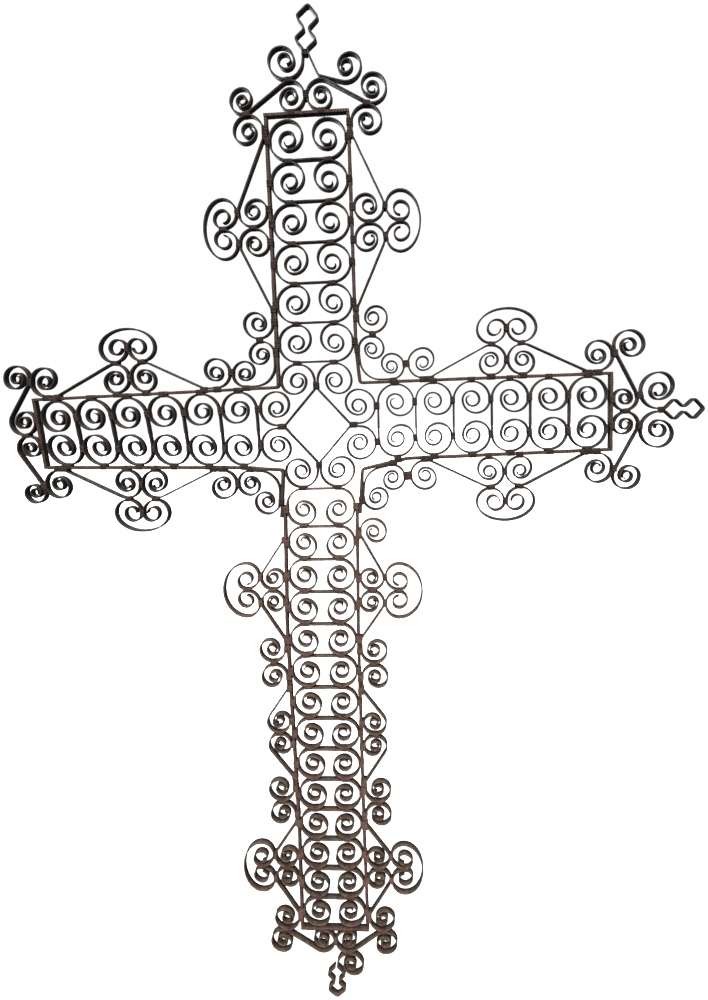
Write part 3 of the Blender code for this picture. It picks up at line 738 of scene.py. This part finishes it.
# Each lobe: arm, side, middle along the arm, size, then for the near and the far brace the air
# left before the next scroll along the rail, or before the rail's end (less than nothing past it),
# and the straight run from the brace's foot to its own scroll, or None if that is broken off
LOBES = {
    "lobe_top_left": ("top", "left", TOP_REACH - 0.1500, WIDE, (0.0016, 0.0185), (-0.0014, 0.0095)),
    "lobe_top_right": ("top", "right", TOP_REACH - 0.1500, WIDE, (0.0010, 0.0150), (-0.0062, 0.0160)),
    "lobe_left_upper": ("left", "right", LEFT_REACH - 0.1457, WIDE, (0.0011, 0.0200), (-0.0015, 0.0180)),
    "lobe_left_lower": ("left", "left", LEFT_REACH - 0.1523, WIDE, (0.0004, 0.0135), (-0.0020, 0.0100)),
    "lobe_right_upper": ("right", "left", RIGHT_REACH - 0.1460, WIDE, (0.0008, 0.0100),
                         (-0.0028, 0.0145)),
    "lobe_right_lower": ("right", "right", RIGHT_REACH - 0.1500, WIDE, (0.0008, 0.0070),
                         (-0.0023, 0.0180)),
    "lobe_lower_left_1": ("lower", "right", LOWER_FIRST, NARROW, (0.0170, None), (0.0015, 0.0160)),
    "lobe_lower_right_1": ("lower", "left", LOWER_FIRST + 0.0010, NARROW, (0.0041, 0.0045),
                           (0.0016, 0.0180)),
    "lobe_lower_left_2": ("lower", "right", LOWER_LAST, LAST, (0.0025, 0.0150), (-0.0026, 0.0090)),
    "lobe_lower_right_2": ("lower", "left", LOWER_LAST, LAST, (0.0018, 0.0180), (-0.0012, 0.0080)),
    "small_lobe_left": ("lower", "right", LOWER_MIDDLE + 0.0008, NARROW, (0.0030, 0.0195),
                        (0.0015, 0.0200)),
    "small_lobe_right": ("lower", "left", LOWER_MIDDLE + 0.0035, NARROW, (0.0028, 0.0210),
                         (0.0018, 0.0130)),
}
CORNER_REACH = CORNER_FOOT + CORNER_SCROLL + TOUCH      # what a corner's scroll takes of its rail
CORNER_OF_RAIL = {
    ("top", "left"): "upper_left", ("left", "right"): "upper_left",
    ("top", "right"): "upper_right", ("right", "left"): "upper_right",
    ("left", "left"): "lower_left", ("lower", "right"): "lower_left",
    ("right", "right"): "lower_right", ("lower", "left"): "lower_right",
}


def lobe_room(arm, side, middle):
    """Room along the rail on both sides of a lobe: to its neighbours' halves, or what ends them."""
    others = [place[2] for place in LOBES.values() if place[:2] == (arm, side) and place[2] != middle]
    corner = corner_frame(CORNER_OF_RAIL[arm, side])[0] / OUTWARD[arm]
    starts = [corner.real + CORNER_REACH]
    starts += [(middle + other) / 2 for other in others if other < middle]
    ends = [RAIL_POINTS[arm, side][-1][0]]
    ends += [(middle + other) / 2 for other in others if other > middle]
    return middle - max(starts), min(ends) - middle


def brace_path(foot, lead, inner, outer):
    """A brace beside a rail: x runs along the rail from the middle of the lobe, y away from it."""
    start = complex(foot, RAIL_TOUCH)
    inward = Bend(start, -1).run_to(complex(inner + TOUCH / 2, RAIL_TOUCH + inner), inner, 1)
    inward.scroll(inner, 1, until=1)
    outward = Bend(start, 1)
    if lead is None:
        outward.ahead(STRIP)
    else:
        outward.ahead(lead).scroll(outer, 1)
    return joined(inward.points, outward.points)


def lobe_path(inner, reach):
    """The outer scroll of a lobe, from one wound end round the back to the other."""
    near = RAIL_TOUCH + 2 * inner + TOUCH
    top = complex(2 * LOBE_SCROLL + TOUCH / 2, near + LOBE_SCROLL)
    depth = reach - STRIP / 2 - top.imag
    back = [complex(top.real * math.sin(math.radians(degrees)),
                    top.imag + depth * math.cos(math.radians(degrees)))
            for degrees in range(0, 91, ARC_STEP)]
    end = Bend(top, -1j).scroll(LOBE_SCROLL, -1, wind=LOBE_WIND)
    one = back + end.points[1:]
    return joined([complex(-point.real, point.imag) for point in one], one)


def make_lobe(name):
    """One lobe with its ties, as two pieces; gives back the paths of its two braces."""
    arm, side, middle, (inner, outer, reach), near, far = LOBES[name]
    sign = 1 if side == "left" else -1
    feet = [room - air - (lead or 0) - outer for room, (air, lead)
            in zip(lobe_room(arm, side, middle), (near, far))]
    stands = [complex(along, rail_across(arm, side, along))
              for along in (middle - feet[0], middle + feet[1])]
    tilt = (stands[1] - stands[0]) / abs(stands[1] - stands[0])
    base = stands[0] + tilt * feet[0] + tilt * 1j * sign * LOBE_SEAT

    def put(points):
        local = [complex(point.real, sign * point.imag) for point in points]
        return placed(placed(local, tilt, base), OUTWARD[arm])

    strips = bmesh.new()
    ties = bmesh.new()
    braces = []
    for flip, foot, (air, lead) in zip((-1, 1), feet, (near, far)):
        brace = brace_path(foot, lead, inner, outer)
        brace = put([complex(flip * point.real, point.imag) for point in brace])
        forge(strips, brace, STRIP, free_end=lead is not None)
        braces.append(brace)
        held = [foot, inner + TOUCH / 2] + ([foot + lead] if lead else [])
        for spot in put([flip * along + 1j * RAIL_TOUCH for along in held]):
            tie_paths(ties, brace, SIDE_RAILS[arm, side], spot, other_half=RAIL / 2)
    tie_paths(ties, *braces, put([1j * (RAIL_TOUCH + inner)])[0])
    if not name.startswith("small"):
        lobe = put(lobe_path(inner, reach))
        forge(strips, lobe, STRIP)
        far_side = RAIL_TOUCH + 2 * inner + TOUCH / 2
        for flip, brace in zip((-1, 1), braces):
            tie_paths(ties, brace, lobe, put([complex(flip * LOBE_SCROLL, far_side)])[0])
        tie(ties, *put([complex(flip * TOUCH / 2, far_side + TOUCH / 2 + LOBE_SCROLL)
                        for flip in (-1, 1)]))
    strip_piece(f"{name}_strips", strips, arm, name)
    tie_piece(f"{name}_ties", ties, arm)
    return braces


BRACE_STRIPS = {}
for name in LOBES:
    BRACE_STRIPS[name] = make_lobe(name)


# Arm ends: two S-shaped shoulders of strip are wired to the end bar, and on them stands one more
# strip, bent into two scrolls and a finial of two diamonds. The left arm has lost it and the lower
# one a scroll; the top finial leans, and the scroll to its right is bent away.

# Shoulders: radii of the scroll beside the axis and of the outer one, and the outer one's middle
# from the middle of the bar, as (along, across)
SHOULDERS = {
    ("top", "left"): (0.0197, 0.0168, (0.0205, 0.0893)),
    ("top", "right"): (0.0197, 0.0193, (0.0275, 0.0930)),
    ("left", "left"): (0.0175, 0.0160, (0.0235, 0.0873)),
    ("left", "right"): (0.0195, 0.0188, (0.0202, 0.0858)),
    ("right", "left"): (0.0168, 0.0205, (0.0245, 0.0925)),
    ("right", "right"): (0.0175, 0.0187, (0.0223, 0.0926)),
    ("lower", "left"): (0.0185, 0.0184, (0.0222, 0.0810)),
    ("lower", "right"): (0.0185, 0.0186, (0.0232, 0.0855)),
}
# Finials: radius of the end scrolls, length of the stem, half heights of the near and the far
# diamond and half their width, degrees that it leans to the right, and which scrolls it still has
FINIALS = {
    "top": {"scroll": 0.0240, "stem": 0.0130, "half_heights": (0.0130, 0.0158),
            "half_width": 0.0155, "lean": 6.5, "left": True, "right": False},
    "right": {"scroll": 0.0253, "stem": 0.0085, "half_heights": (0.0130, 0.0138),
              "half_width": 0.0150, "lean": 0.0, "left": True, "right": True},
    "lower": {"scroll": 0.0208, "stem": 0.0035, "half_heights": (0.0134, 0.0131),
              "half_width": 0.0147, "lean": 0.0, "left": True, "right": False},
}
STEM_TIE = 0.0080       # length of the tie below a finial; the lower one has none
# The bent scroll: where its strip crosses the shoulder, and where it winds
BENT_OVER = 0.0480 + 0.0193j
BENT_CENTRE = 0.0588 + 0.0572j
BENT_SCROLL = 0.0210


def shoulder_path(inner, outer, outer_place):
    """An S-shaped scroll on an end bar: wound out beyond the rail and in beside the axis."""
    inner_centre = complex(RAIL_TOUCH + inner, inner + TOUCH / 2)
    outer_centre = complex(*outer_place)
    between = inner_centre + (outer_centre - inner_centre) * inner / (inner + outer)
    outward = Bend(between, 1j).run_to(outer_centre, outer, -1).scroll(outer, -1, until=-1j)
    inward = Bend(between, -1j).run_to(inner_centre, inner, -1).scroll(inner, -1, until=1j)
    return joined(outward.points, inward.points)


def leant_way(arm):
    """The direction in which a finial leaves its arm."""
    return cmath.rect(1, math.radians(-FINIALS[arm]["lean"]))


def finial_path(arm, seat):
    """One strip: end scroll, stem, two diamonds up to the tip, and down to the other scroll."""
    finial = FINIALS[arm]
    rise = []
    along = finial["stem"]
    for half_height in finial["half_heights"]:
        rise += [complex(along, KISS), complex(along + half_height, finial["half_width"])]
        along += 2 * half_height
    leant = leant_way(arm)
    left_rise = [seat + leant * point for point in rise]
    right_rise = [seat + leant.conjugate() * point for point in rise]
    curl = Bend(complex(seat, KISS), -1).scroll(finial["scroll"], -1).points[::-1]
    left = (curl if finial["left"] else []) + left_rise
    right = (curl if finial["right"] else []) + right_rise
    if arm == "top":
        start = right_rise[0]
        swung = Bend(start, BENT_OVER - start).ahead(abs(BENT_OVER - start))
        swung.run_to(BENT_CENTRE, BENT_SCROLL, -1).scroll(BENT_SCROLL, -1, until=1)
        right = swung.points[::-1] + right_rise[1:]
    return left + [seat + leant * along] + mirrored(right)[::-1]


def make_end(arm):
    """All that stands on one end bar, as two pieces; gives back the paths of its shoulders."""
    bar = end_bar(arm)
    middle = (bar[0] + bar[1]) / 2
    outward = (bar[0] - bar[1]) / abs(bar[0] - bar[1]) / 1j

    def put(points):
        return placed(points, outward, middle)

    strips = bmesh.new()
    ties = bmesh.new()
    shoulders = []
    for sign, side in ((1, "left"), (-1, "right")):
        inner = SHOULDERS[arm, side][0]
        path = shoulder_path(*SHOULDERS[arm, side])
        path = put(path if side == "left" else mirrored(path))
        forge(strips, path, STRIP)
        tie_paths(ties, path, bar, put([complex(0, sign * (inner + TOUCH / 2))])[0],
                  other_half=RAIL / 2)
        shoulders.append(path)
    inners = [SHOULDERS[arm, side][0] for side in ("left", "right")]
    tie_paths(ties, *shoulders, put([RAIL_TOUCH + sum(inners) / 2 + 0j])[0])
    if arm in FINIALS:
        finial = FINIALS[arm]
        seat = RAIL_TOUCH + 2 * max(inners) + TOUCH + finial["scroll"]
        path = put(finial_path(arm, seat))
        forge(strips, path, STRIP, free_start=finial["left"],
              free_end=finial["right"] or arm == "top")
        for sign, side, shoulder, inner in zip((1, -1), ("left", "right"), shoulders, inners):
            if finial[side]:
                spot = complex(RAIL_TOUCH + 2 * inner, sign * (finial["scroll"] + inner) / 2)
                tie_paths(ties, shoulder, path, put([spot])[0])
        if arm != "lower":
            beside = complex(finial["stem"] - STEM_TIE / 2, KISS)
            spots = [seat + leant_way(arm) * spot for spot in (beside.conjugate(), beside)]
            tie(ties, *put(spots), length=STEM_TIE)
    strip_piece(f"end_{arm}_strips", strips, arm, f"end_{arm}")
    tie_piece(f"end_{arm}_ties", ties, arm)
    return shoulders


SHOULDER_STRIPS = {}
for arm in OUTWARD:
    SHOULDER_STRIPS[arm, "left"], SHOULDER_STRIPS[arm, "right"] = make_end(arm)


# Ties between neighbours: where a brace's curl meets a shoulder, the curl of the next lobe or, but
# for the lower arm, the scroll in the corner, a few turns of wire hold the two together.
def curl_spot(name, which):
    """The point furthest from a lobe in the curl of its near (0) or far (1) brace."""
    brace = BRACE_STRIPS[name][which]
    arm = LOBES[name][0]
    ways = [(point / OUTWARD[arm]).real for point in brace]
    return brace[ways.index(max(ways) if which else min(ways))]


for arm in OUTWARD:
    ties = bmesh.new()
    for side in ("left", "right"):
        names = [name for name, place in LOBES.items() if place[:2] == (arm, side)]
        names.sort(key=lambda name: LOBES[name][2])
        if arm != "lower":
            corner_strip = CORNER_STRIPS[CORNER_OF_RAIL[arm, side]]
            tie_paths(ties, BRACE_STRIPS[names[0]][0], corner_strip, curl_spot(names[0], 0))
        beyond = [BRACE_STRIPS[name][0] for name in names[1:]] + [SHOULDER_STRIPS[arm, side]]
        for name, neighbour in zip(names, beyond):
            tie_paths(ties, BRACE_STRIPS[name][1], neighbour, curl_spot(name, 1))
    tie_piece(f"neighbour_ties_{arm}", ties, arm)


# Studio: the camera stands a little to the right and below the crossing, with a short lens and a
# slight roll. The cross hangs over a pale floor before a white ground, in soft light from above.
CAMERA_PLACE = (0.1393, -1.1122, -0.3956)
CAMERA_VIEW = (-0.0794, 0.9877, -0.1347)
CAMERA_ROLL = 1.72      # degrees
LENS = 27.0             # on a frame 36 mm high

camera_data = bpy.data.cameras.new("camera")
camera_data.sensor_fit = "VERTICAL"
camera_data.sensor_height = 36.0
camera_data.lens = LENS
camera = bpy.data.objects.new("camera", camera_data)
camera.location = CAMERA_PLACE
camera.rotation_mode = "QUATERNION"
camera.rotation_quaternion = (Vector(CAMERA_VIEW).to_track_quat("-Z", "Y")
                              @ Quaternion((0, 0, 1), math.radians(-CAMERA_ROLL)))
bpy.context.collection.objects.link(camera)
bpy.context.scene.camera = camera

FLOOR_DROP = 0.30
FLOOR_SIZE = 60.0

floor_z = cad_low.z - FLOOR_DROP
floor_mesh = bpy.data.meshes.new("floor")
edge = FLOOR_SIZE / 2
floor_mesh.from_pydata([(-edge, -edge, floor_z), (edge, -edge, floor_z), (edge, edge, floor_z),
                        (-edge, edge, floor_z)], [], [(0, 1, 2, 3)])
floor_finish = bpy.data.materials.new("pale_floor")
floor_finish.use_nodes = True
floor_shader = floor_finish.node_tree.nodes["Principled BSDF"]
floor_shader.inputs["Base Color"].default_value = (0.95, 0.95, 0.945, 1.0)
floor_shader.inputs["Roughness"].default_value = 0.9
floor_shader.inputs["Emission Color"].default_value = (1.0, 1.0, 1.0, 1.0)
floor_shader.inputs["Emission Strength"].default_value = 0.95
floor_mesh.materials.append(floor_finish)
floor = bpy.data.objects.new("floor", floor_mesh)
floor.visible_diffuse = False
floor.visible_glossy = False
bpy.context.collection.objects.link(floor)

# The sky that lights the iron fades from bright above to dark below; the camera sees plain white
SKY_TOP = 0.55
SKY_SIDE = 0.20
SKY_BELOW = 0.02
SKY_SEEN = 1.10

world = bpy.data.worlds.new("studio")
world.use_nodes = True
tree = world.node_tree
height = tree.nodes.new("ShaderNodeSeparateXYZ")
tree.links.new(tree.nodes.new("ShaderNodeTexCoord").outputs["Generated"], height.inputs["Vector"])
fade = tree.nodes.new("ShaderNodeFloatCurve")
curve = fade.mapping.curves[0]
curve.points[0].location = (0.0, SKY_BELOW / SKY_TOP)
curve.points[1].location = (1.0, 1.0)
curve.points.new(0.5, SKY_SIDE / SKY_TOP)
fade.mapping.update()
lift = tree.nodes.new("ShaderNodeMapRange")
lift.inputs["From Min"].default_value = -1.0
tree.links.new(height.outputs["Z"], lift.inputs["Value"])
tree.links.new(lift.outputs["Result"], fade.inputs["Value"])
lighting = tree.nodes["Background"]
lighting.inputs["Strength"].default_value = SKY_TOP
tree.links.new(fade.outputs["Value"], lighting.inputs["Color"])
seen = tree.nodes.new("ShaderNodeBackground")
seen.inputs["Color"].default_value = (1.0, 1.0, 1.0, 1.0)
seen.inputs["Strength"].default_value = SKY_SEEN
either = tree.nodes.new("ShaderNodeMixShader")
tree.links.new(tree.nodes.new("ShaderNodeLightPath").outputs["Is Camera Ray"],
               either.inputs["Fac"])
tree.links.new(lighting.outputs["Background"], either.inputs[1])
tree.links.new(seen.outputs["Background"], either.inputs[2])
tree.links.new(either.outputs["Shader"], tree.nodes["World Output"].inputs["Surface"])
bpy.context.scene.world = world
bpy.context.scene.view_settings.view_transform = "Standard"

# The key light falls steeply from above and in front, and two weak lamps fill from the side and
# from behind: where each hangs, what it points at, its size and its power
KEY_FROM = (0.12, -0.80, 1.00)
KEY_STRENGTH = 5.0
KEY_ANGLE = 14.0        # degrees across, which softens its shadows
FILLS = {
    "side_fill": ((1.8, -2.2, -0.1), (0.0, 0.0, -0.7), 1.8, 12.0),
    "rear_fill": ((-1.4, 2.4, 0.6), (0.0, 0.0, -0.6), 2.0, 45.0),
}


def hang(name, lamp, place, aim):
    holder = bpy.data.objects.new(name, lamp)
    holder.location = place
    holder.rotation_mode = "QUATERNION"
    holder.rotation_quaternion = (Vector(aim) - Vector(place)).to_track_quat("-Z", "Y")
    bpy.context.collection.objects.link(holder)


key = bpy.data.lights.new("key", "SUN")
key.energy = KEY_STRENGTH
key.angle = math.radians(KEY_ANGLE)
hang("key", key, KEY_FROM, (0.0, 0.0, 0.0))
for name, (place, aim, size, power) in FILLS.items():
    fill = bpy.data.lights.new(name, "AREA")
    fill.shape = "DISK"
    fill.size = size
    fill.energy = power
    hang(name, fill, place, aim)
